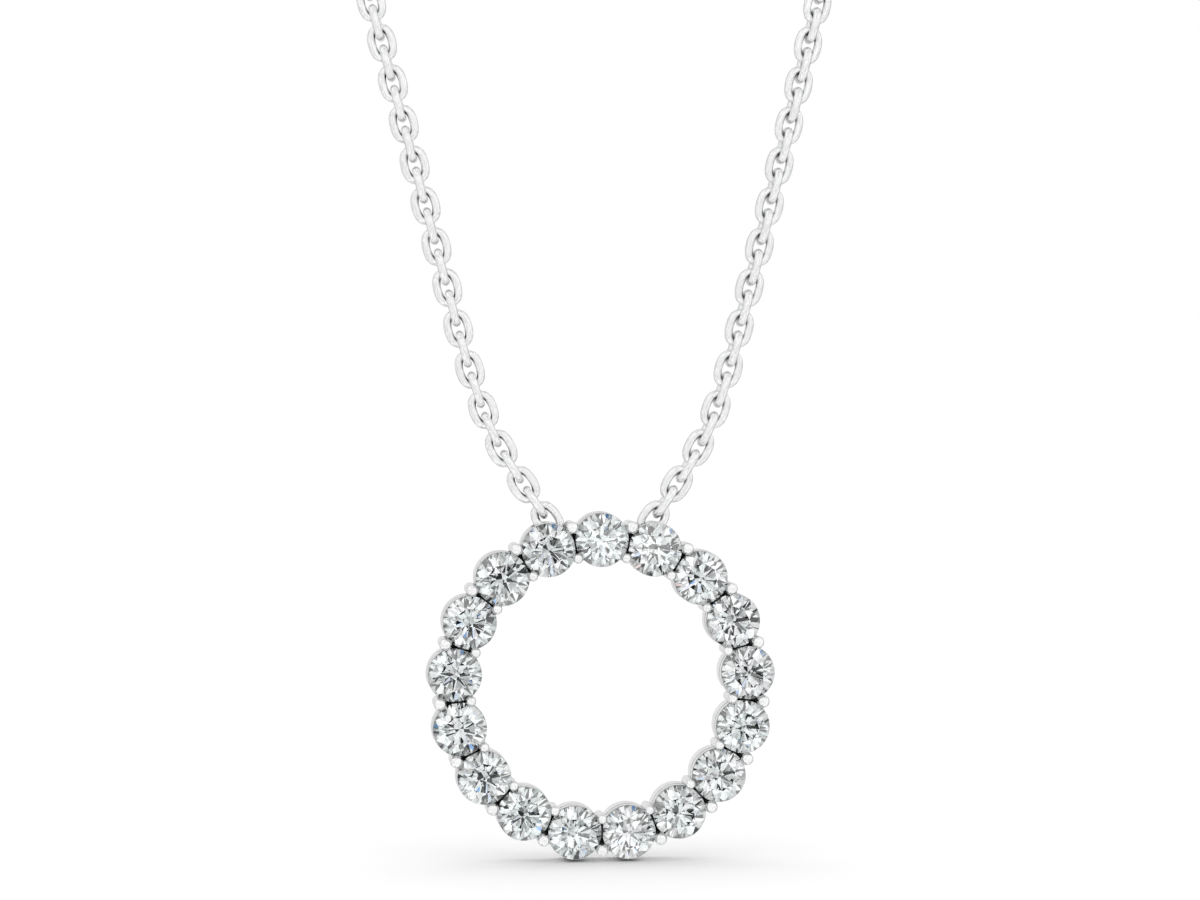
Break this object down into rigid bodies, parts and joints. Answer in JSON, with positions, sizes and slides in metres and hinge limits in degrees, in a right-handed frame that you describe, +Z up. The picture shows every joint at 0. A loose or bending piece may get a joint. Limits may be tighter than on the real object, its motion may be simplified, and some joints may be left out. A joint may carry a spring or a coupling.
{
  "type": "circle pendant necklace",
  "caption": "Open circle pendant of round brilliants in shared prongs, hung at two points from a fine cable chain that closes with a plain barrel clasp at the nape.",
  "frame": {"origin": "middle of the neck opening, level with the chain at the sides of the neck, where the necklace hangs", "axes": "+Z up, -Y to the front of the wearer and the faces of the stones, +X to the right in the picture's view"},
  "size_m": [0.0996, 0.1245, 0.1396],
  "materials": {
    "white_gold": "polished white gold, bright and mirror-like, with fine polishing marks",
    "diamond": "colourless brilliant-cut diamond, polished facets"
  },
  "bodies": {
    "chain": {"chain_left": "white_gold", "chain_right": "white_gold", "chain_back_left": "white_gold", "chain_back_right": "white_gold", "clasp": "white_gold"},
    "pendant": {"circle_setting": "white_gold", "diamond_01": "diamond", "diamond_02": "diamond", "diamond_03": "diamond", "diamond_04": "diamond", "diamond_05": "diamond", "diamond_06": "diamond", "diamond_07": "diamond", "diamond_08": "diamond", "diamond_09": "diamond", "diamond_10": "diamond", "diamond_11": "diamond", "diamond_12": "diamond", "diamond_13": "diamond", "diamond_14": "diamond", "diamond_15": "diamond", "diamond_16": "diamond", "diamond_17": "diamond"}
  },
  "joints": [
    {"name": "pendant_swing", "type": "hinge", "parent": "chain", "child": "pendant", "pos_m": [0, -0.0791, -0.1132], "axis": [1, 0, 0], "range_deg": [-25, 25]}
  ]
}
